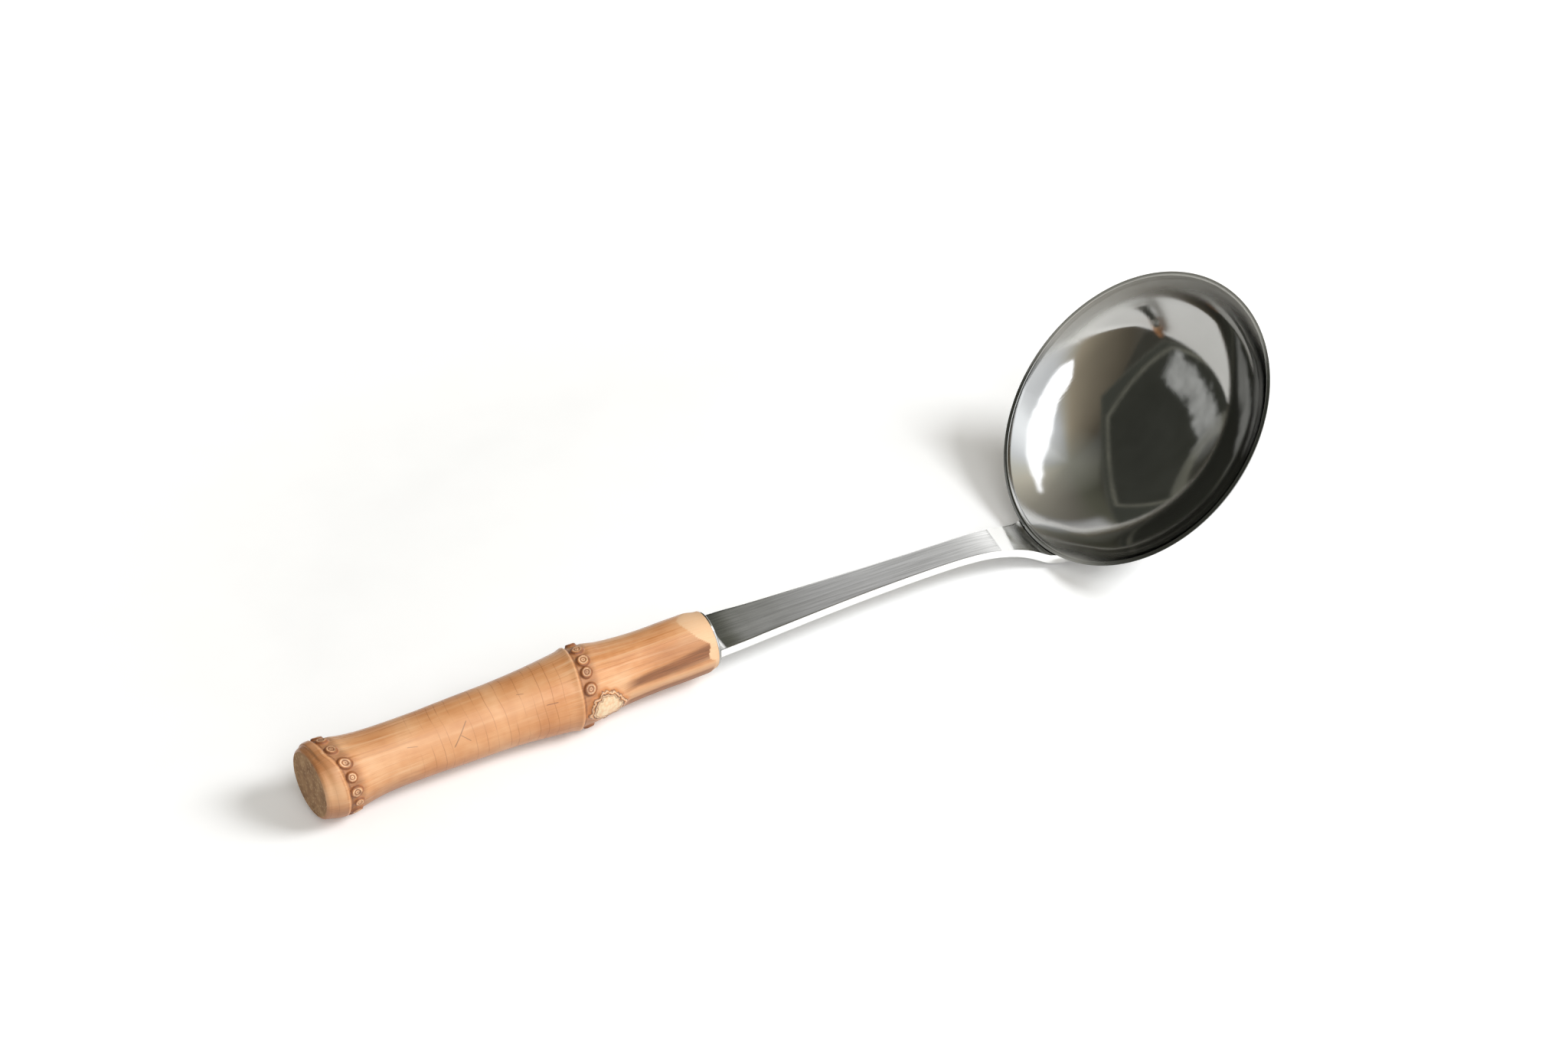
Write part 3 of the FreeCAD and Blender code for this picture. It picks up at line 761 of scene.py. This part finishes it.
def nubRelief(s, turn):
    plan = nubPlan
    height = dark = 0.0
    nub = 3.0
    grooveBefore, grooveWidth, grooveDark = plan["groove"]
    beltWidth, beltDark, beltSink = plan["belt"]
    count, apart, fluteDepth, fluteWidth, fluteLength = plan["flutes"]
    for row, centre, bandRadius, rise, lip in plan["bands"]:
        dark = max(dark, grooveDark * bell(s - lip + grooveBefore, grooveWidth))
        if abs(s - centre) > plan["reach"]:
            continue
        belt = bell(s - centre, beltWidth, 4)
        dark = max(dark, beltDark * belt)
        height -= beltSink * belt
        for angle, size in plan[row]:
            across = math.radians(angleGap(turn, angle)) * bandRadius
            along = s - centre - plan["wander"] * math.sin(angle * 2.1)
            stretch = plan["stretch"][0] + plan["stretch"][1] * math.sin(angle)
            distance = math.hypot(across, along * stretch) / (size * plan["fit"])
            nub = min(nub, distance)
            if distance < 1.5:
                height += rise * (1 - smoothStep(*plan["sides"], distance))
                height += sum(ring * bell(distance - at, width) for ring, at, width in plan["rings"])
        for k in range(count):  # low flutes that run up from the nubs
            flute = angleGap(turn, k * apart + 3 * math.sin(k * 2.3))
            if abs(flute) < 5 and s < centre:
                height -= fluteDepth * bell(s - centre, fluteLength) * bell(flute, fluteWidth)
    return height, dark, nub


def scarRelief(s, turn):
    plan = scarPlan
    across = math.radians(angleGap(turn, plan["angle"])) * plan["radius"]
    along = s - plan["middle"] + plan["slant"] * across
    heading = math.atan2(across, along)
    ragged = 1 + sum(size * math.sin(count * heading + start) for size, count, start in plan["waves"])
    scar = math.hypot(along / plan["size"][0], across / plan["size"][1]) / ragged
    rimPlace, rimWidth, rimHeight = plan["rim"]
    height = 0.0
    if scar < 1.6:
        height = plan["rise"] * (1 - smoothStep(*plan["sides"], scar))
        height += rimHeight * bell(scar - rimPlace, rimWidth)
    return height, scar


def furrowRelief(s, turn):
    plan = furrowPlan
    gap = angleGap(turn, throughTable(plan["line"], s))
    reach = 1 - smoothStep(*plan["fades"], s)
    ridgeAngle, ridgeWidth, ridgeHeight, ridgeHighlight = plan["ridge"]
    ridge = bell(angleGap(turn, ridgeAngle), ridgeWidth)
    height = reach * (ridgeHeight * ridge - plan["depth"] * bell(gap, plan["spread"]))
    furrow = reach * bell(gap, throughTable(plan["width"], s), 4)
    lower = between(turn, *plan["lowerSide"]) * (1 - smoothStep(*plan["lowerFades"], s))
    angle, width, brownDark = plan["brownSpot"]
    brown = bell(angleGap(turn, angle), width, 4) * (1 - smoothStep(*plan["brownFades"], s))
    # a painted highlight behind the furrow
    back, length, angle, width, spotHighlight = plan["highlightSpot"]
    spot = bell(s - back, length) * bell(angleGap(turn, angle), width)
    # the furrow and its lower side carry painted shade over brown skin
    dark = max(plan["darkness"] * furrow, plan["lowerDark"] * lower, brownDark * brown)
    # painted highlights: on the ridge and in the pale spot
    pale = max(ridgeHighlight * ridge * (1 - smoothStep(*plan["ridgeFades"], s)), spotHighlight * spot)
    return height, dark, pale


def surface(s, turn):
    plan, wearAndLight = handlePlan, wearShadeAndHighlightPlan
    shift = 0.0
    for part in ("mid", "butt"):
        lean = roundTable(plan[part + "Tilt"], turn) - plan[part + "Lip"]
        shift += lean * between(s, *plan[part + "Fades"])
    nubHeight, dark, nub = nubRelief(s, turn)
    scarHeight, scar = scarRelief(s, turn)
    radius = bareRadius(s) + nubHeight + scarHeight
    pale = 0.0
    if s < furrowPlan["end"]:
        furrowHeight, brown, pale = furrowRelief(s, turn)
        radius += furrowHeight
        dark = max(dark, brown)
    edge = roundTable(plan["frontEdge"], turn)
    if s < edge:  # knife-cut facets at the front end
        cut = plan["frontRadius"]
        radius = min(radius, cut + (radius - cut) * smoothStep(0, edge, s))
        pale, dark = 1.0, 0.0
    # painted shade on the underside, with browner skin there
    under = smoothStep(*wearAndLight["under"], abs(angleGap(turn, 0)))
    everywhere, added = wearAndLight["underDark"]
    dark = max(dark, (everywhere + added * smoothStep(*wearAndLight["underReach"], s)) * under)
    if s > wearAndLight["handFrom"]:
        angle, width, handRubAndHighlight = wearAndLight["hand"]
        # the rubbed band is also a painted highlight on the lit front
        pale = max(pale, handRubAndHighlight * bell(angleGap(turn, angle), width) * between(s, *wearAndLight["handFades"]))
    if s > wearAndLight["buttFrom"]:
        angle, width, buttDark = wearAndLight["buttDark"]
        dark = max(dark, buttDark * bell(angleGap(turn, angle), width))
        angle, width, buttPale = wearAndLight["buttPale"]
        pale = max(pale, buttPale * bell(angleGap(turn, angle), width))
    # painted highlight along each lip's edge
    before, behind, lipHighlightShare = wearAndLight["lipEdgeHighlight"]
    if any(lip - before < s < lip + behind for lip in (plan["midLip"], plan["buttLip"])):
        pale, dark = max(pale, lipHighlightShare), 0.0
    start, full, workedShare = wearAndLight["workedButt"]
    worked = between(s, *wearAndLight["worked"]) + workedShare * smoothStep(start, full, s)
    return radius, dark, pale, worked, shift, nub, scar


stagePlan = {
    "floorSize": 6.0,
    "floorTints": ((0.92, 0.925, 0.93), (0.94, 0.945, 0.95)),
    "floorRough": 0.9,
    "floorGlow": [(0.14, 0.12), (0.28, 0.34), (0.5, 0.55)],  # metres from the middle, the floor's own light
    "domeRadius": 2.6,
    "domeMiddle": (1.967, -1.424, 0.0),  # leaves the flats just behind the handle's butt
    "domeFoot": 0.004,
    "eye": (0.107, 0.0, 0.045),  # the bowl's middle, from which the flats are painted
}


def paleFloor():
    s = Shader("paleFloor")
    plan = stagePlan
    grain = s.noise(s.coordinates(), 60, 3, 0.5)
    colour = s.ramp(grain, [(0.3, plan["floorTints"][0]), (0.7, plan["floorTints"][1])])
    rays = s.node("ShaderNodeLightPath").outputs
    seen = s.math("MAXIMUM", rays["Is Camera Ray"], rays["Is Glossy Ray"])
    seen = s.math("MAXIMUM", seen, rays["Is Transmission Ray"])
    away = s.node("ShaderNodeVectorMath", {0: s.coordinates()}, operation="LENGTH").outputs["Value"]
    s.feed(s.main.inputs["Emission Color"], (1.0, 1.0, 1.0, 1))
    s.feed(s.main.inputs["Emission Strength"], s.math("MULTIPLY", seen, s.ramp(away, plan["floorGlow"])))
    return s.finish(colour=colour, roughness=plan["floorRough"], specular=0.0)


def makeStage():
    plan = stagePlan
    bpy.ops.mesh.primitive_plane_add(size=plan["floorSize"], location=(0, 0, 0))
    floor = bpy.context.active_object
    floor.name = "floorSheet"
    floor.data.materials.append(paleFloor())

    bpy.ops.mesh.primitive_uv_sphere_add(segments=64, ring_count=48, radius=plan["domeRadius"],
                                         location=plan["domeMiddle"])
    dome = bpy.context.active_object
    dome.name = "studioFlats"
    bpy.ops.object.transform_apply(location=True, rotation=True, scale=True)
    bpy.ops.object.mode_set(mode="EDIT")
    bpy.ops.mesh.select_all(action="SELECT")
    bpy.ops.mesh.bisect(plane_co=(0, 0, plan["domeFoot"]), plane_no=(0, 0, -1), clear_outer=True)
    bpy.ops.object.mode_set(mode="OBJECT")
    dome.data.materials.append(paintedFlats(plan["eye"]))
    dome.visible_camera = False
    dome.visible_diffuse = False
    dome.visible_shadow = False
    dome.visible_transmission = False


flatsPlan = {
    "neutral": (1.0, 1.0, 0.91),
    "soft": (1.08, 1.02, 0.86),
    "olive": (1.0, 1.0, 0.76),
    "warm": (1.20, 1.04, 0.78),
    "cool": (0.97, 1.0, 1.04),
    "side": [(0, 0.95, "soft"), (15, 0.71, "soft"), (30, 0.46, "soft"),  # degrees around, brightness, tint
             (45, 0.34, "soft"), (60, 0.24, "soft"),
             (75, 0.17, "olive"), (90, 0.13, "olive"), (120, 0.11, "olive"), (160, 0.11, "neutral"),
             (185, 0.13, "neutral"), (200, 0.13, "warm"), (210, 0.20, "warm"), (220, 0.27, "warm"),
             (230, 0.37, "warm"), (238, 0.48, "warm"), (244, 0.66, "soft"), (255, 1.02, "cool"),
             (265, 1.24, "cool"), (280, 1.52, "cool"), (290, 1.91, "cool"), (300, 1.97, "cool"),
             (315, 1.71, "cool"), (330, 1.33, "cool"), (345, 1.12, "neutral"), (360, 0.95, "soft")],
    "overhead": (0.42, 0.42, 0.36),
    "strip": [(0.20, 1.9), (0.35, 1.75), (0.40, 1.6), (0.44, 1.35), (0.485, 1.02), (0.503, 0.86),
              (0.515, 0.74), (0.527, 0.68), (0.546, 0.60), (0.58, 0.48), (0.62, 0.25)],  # height, brightness
    "stripAround": [(0.07, 0.0), (0.11, 1.0), (0.196, 1.0), (0.203, 0.7), (0.2085, 0.2), (0.215, 0.0)],
    "stripUp": [(0.56, 1.0), (0.61, 0.0)],
    "windowTop": [(0, 0.855), (7, 0.83), (15, 0.80), (25, 0.765), (32, 0.70), (230, 0.40), (240, 0.55),
                  (247, 0.615), (253, 0.685), (263, 0.785), (280, 0.845), (300, 0.872), (330, 0.87),
                  (360, 0.855)],  # degrees around, height
    "windowFoot": [(0, 0.77), (7, 0.765), (15, 0.75), (25, 0.735), (32, 0.80), (230, 0.80), (240, 0.40),
                   (246, 0.36), (253, 0.40), (261, 0.51), (270, 0.59), (280, 0.635), (302, 0.715),
                   (332, 0.76), (360, 0.77)],
    "windowSoft": [(0.0, 0.0), (0.03, 1.0)],
    "windowLight": (3.3, 3.35, 3.5),
    "flag": (-0.7285, 0.6113, 0.309),
    "flagFade": [(0.565, 0.0), (0.59, 1.0)],
    "flagMottle": (0.09, 0.093, 0.08),
    "frameEdges": [((-0.823, 0.568, -0.016), 0.297), ((-0.373, 0.730, 0.572), 0.358),
                   ((-0.143, 0.292, 0.946), 0.09), ((0.274, -0.955, -0.112), -0.975),
                   ((-0.939, -0.342, 0.026), -0.463)],  # each edge's side and reach
    "frameFade": [(0.494, 0.0), (0.504, 1.0)],
    "frameTones": [(0.488, (0.075, 0.072, 0.058)), (0.494, (0.16, 0.16, 0.135)), (0.508, (0.15, 0.15, 0.125)),
                   (0.516, (0.085, 0.09, 0.075)), (1.0, (0.085, 0.09, 0.075))],
    "paneEdges": [((-0.812, 0.583, -0.016), 0.382), ((-0.589, 0.628, 0.509), 0.670),
                  ((-0.143, 0.292, 0.946), 0.154), ((0.274, -0.955, -0.112), -0.953),
                  ((-0.868, -0.488, -0.089), -0.416)],
    "paneFade": [(0.464, 0.0), (0.470, 1.0)],
    "paneTones": [(0.470, (0.30, 0.295, 0.24)), (0.492, (0.25, 0.25, 0.21)), (0.500, (0.056, 0.058, 0.047)),
                  (1.0, (0.052, 0.054, 0.047))],
    "patch": (0.66, 0.67, 0.66),
    "patchUp": [(0.17, 0.0), (0.20, 1.0), (0.32, 1.0), (0.35, 0.0)],
    "patchFrom": [(0.30, 0.0), (0.35, 1.0)],
    "patchTo": [(0.465, 1.0), (0.48, 0.0)],
    "patchWear": [(0.3, 0.40), (0.6, 0.95)],
}


def insideOf(s, way, edges):
    least = 0.5
    for side, reach in edges:
        least = s.math("MINIMUM", least, s.math("SUBTRACT", s.dot(way, side), reach))
    return s.math("ADD", least, 0.5)  # 0.5 is on the edge


def paintedFlats(eye):
    s = Shader("paintedFlats")
    s.tree.nodes.remove(s.main)
    plan = flatsPlan
    about = s.coordinates(offset=tuple(-c for c in eye))
    way = s.node("ShaderNodeVectorMath", {0: about}, operation="NORMALIZE").outputs[0]
    x, y, z = s.split(way)
    height = s.math("MULTIPLY_ADD", s.math("ARCSINE", z), 2 / math.pi * 0.8, 0.2)  # level 0.2, overhead 1
    turn = s.math("FRACT", s.math("MULTIPLY_ADD", s.math("ARCTAN2", y, x), 1 / (2 * math.pi), 1.0))
    mottle = s.noise(way, 2.2, 3, 0.55)
    side = s.ramp(turn, [(around / 360, tuple(light * c for c in plan[tint]))
                         for around, light, tint in plan["side"]])
    side = s.mix(s.math("MULTIPLY", mottle, 0.2), side, s.mix(0.5, side, (0.0, 0.0, 0.0)))
    wall = s.mix(s.ramp(height, [(0.78, 0.0), (1.0, 1.0)]), side, plan["overhead"])

    frame = insideOf(s, way, plan["frameEdges"])
    pane = insideOf(s, way, plan["paneEdges"])
    flagSide = s.ramp(s.dot(way, plan["flag"]), plan["flagFade"])
    flag = s.math("MAXIMUM", flagSide, s.ramp(frame, plan["frameFade"]))
    flagTone = s.mix(s.ramp(pane, plan["paneFade"]), s.ramp(frame, plan["frameTones"]),
                     s.ramp(pane, plan["paneTones"]))
    flagTone = s.mix(s.ramp(mottle, [(0.35, 0.0), (0.65, 0.45)]), flagTone, plan["flagMottle"])
    wall = s.mix(flag, wall, flagTone)

    torn = s.math("MULTIPLY_ADD", s.noise(way, 9, 4, 0.6), 0.16, s.math("SUBTRACT", height, 0.08))
    wearAndLight = s.ramp(s.noise(way, 5, 3, 0.6), plan["patchWear"])
    patch = s.product(s.ramp(torn, plan["patchUp"]), s.ramp(turn, plan["patchFrom"]),
                      s.ramp(turn, plan["patchTo"]), wearAndLight)
    wall = s.mix(patch, wall, plan["patch"])

    strip = s.product(s.ramp(turn, plan["stripAround"]), s.ramp(height, plan["stripUp"]))
    wall = s.mix(strip, wall, s.ramp(height, plan["strip"]))

    top, foot = (s.ramp(turn, [(around / 360, level) for around, level in plan[edge]], smooth=True)
                 for edge in ("windowTop", "windowFoot"))
    window = s.product(s.ramp(s.math("SUBTRACT", top, height), plan["windowSoft"]),
                       s.ramp(s.math("SUBTRACT", height, foot), plan["windowSoft"]))
    wall = s.mix(window, wall, plan["windowLight"])
    glow = s.node("ShaderNodeEmission", {"Color": wall, "Strength": 1.0}).outputs[0]
    s.feed(s.tree.nodes["Material Output"].inputs["Surface"], glow)
    return s.material


worldPlan = {
    "fill": 0.27,  # strength for the rays that light the pieces
    "seen": 1.0,
    "fillTint": (1.0, 0.94, 0.80, 1),  # warm fill in the shadows
    "seenTint": (1, 1, 1, 1),
}


def makeWorld():
    plan = worldPlan
    world = bpy.data.worlds.new("studioAir")
    scene.world = world
    world.use_nodes = True
    tree = world.node_tree
    back = tree.nodes["Background"]
    rays = tree.nodes.new("ShaderNodeLightPath").outputs
    seen = rays["Is Camera Ray"]
    for kind in ("Is Glossy Ray", "Is Transmission Ray"):
        either = tree.nodes.new("ShaderNodeMath")
        either.operation = "MAXIMUM"
        tree.links.new(seen, either.inputs[0])
        tree.links.new(rays[kind], either.inputs[1])
        seen = either.outputs[0]
    strength = tree.nodes.new("ShaderNodeMapRange")
    strength.inputs["To Min"].default_value = plan["fill"]
    strength.inputs["To Max"].default_value = plan["seen"]
    tree.links.new(seen, strength.inputs["Value"])
    tree.links.new(strength.outputs["Result"], back.inputs["Strength"])
    tint = tree.nodes.new("ShaderNodeMix")
    tint.data_type = "RGBA"
    tint.inputs[6].default_value = plan["fillTint"]
    tint.inputs[7].default_value = plan["seenTint"]
    tree.links.new(seen, tint.inputs[0])
    tree.links.new(tint.outputs[2], back.inputs["Color"])


lampPlan = {
    "tint": (0.98, 0.99, 1.0),
    "panels": [("keyPanel", 322, 42, 1.4, 0.55, 18),  # degrees around and up, metres off and wide, power
               ("frontPanel", 262, 42, 1.5, 0.8, 7.4)],
}


def makeLamp(name, around, up, distance, size, power):
    around, up = math.radians(around), math.radians(up)
    way = Vector((math.cos(around) * math.cos(up), math.sin(around) * math.cos(up), math.sin(up)))
    bpy.ops.object.light_add(type="AREA", location=way * distance)
    lamp = bpy.context.active_object
    lamp.name = name
    lamp.data.shape = "SQUARE"
    lamp.data.size = size
    lamp.data.energy = power
    lamp.data.color = lampPlan["tint"]
    lamp.rotation_euler = (-way).to_track_quat("-Z", "Y").to_euler()
    lamp.visible_glossy = False


cameraPlan = {
    "right": (0.8771, -0.4795, -0.0262),
    "forward": (0.3667, 0.7040, -0.6081),
    "spot": (-258.798, -547.677, 504.348),
    "sensor": 36,
    "lens": 63.28,
    "clip": (0.02, 20),
}


def makeCamera():
    plan = cameraPlan
    data = bpy.data.cameras.new("photoView")
    camera = bpy.data.objects.new("photoView", data)
    scene.collection.objects.link(camera)
    right = Vector(plan["right"]).normalized()
    forward = Vector(plan["forward"]).normalized()
    right = (right - forward * right.dot(forward)).normalized()
    turn = Matrix((right, right.cross(forward), -forward)).transposed().to_4x4()
    camera.matrix_world = Matrix.Translation(place(*plan["spot"])) @ turn
    data.sensor_width = plan["sensor"]
    data.lens = plan["lens"]
    data.clip_start, data.clip_end = plan["clip"]
    scene.camera = camera


bowl = makeBowl()
print("bowl", len(bowl.data.polygons))
shank = makeShank()
print("shank", len(shank.data.polygons))
handle = makeHandle()
print("handle", len(handle.data.polygons))

for name, makeMaterial in (("bolster_plate", mirrorSteel), ("root_weld", mirrorSteel),
                           ("bowl_weld", weldSteel), ("tang_rod", brushedSteel),
                           ("handle_adhesive", curedResin)):
    node, material = nodes[name], makeMaterial()
    if not node.material_slots:
        node.data.materials.append(material)
    for slot in node.material_slots:
        slot.material = material
print("materials", len(bpy.data.materials))

makeStage()
print("stage")
makeWorld()
print("world")
for panel in lampPlan["panels"]:
    makeLamp(*panel)
print("lamps", len(lampPlan["panels"]))
makeCamera()
print("camera")
scene.view_settings.view_transform = "Standard"
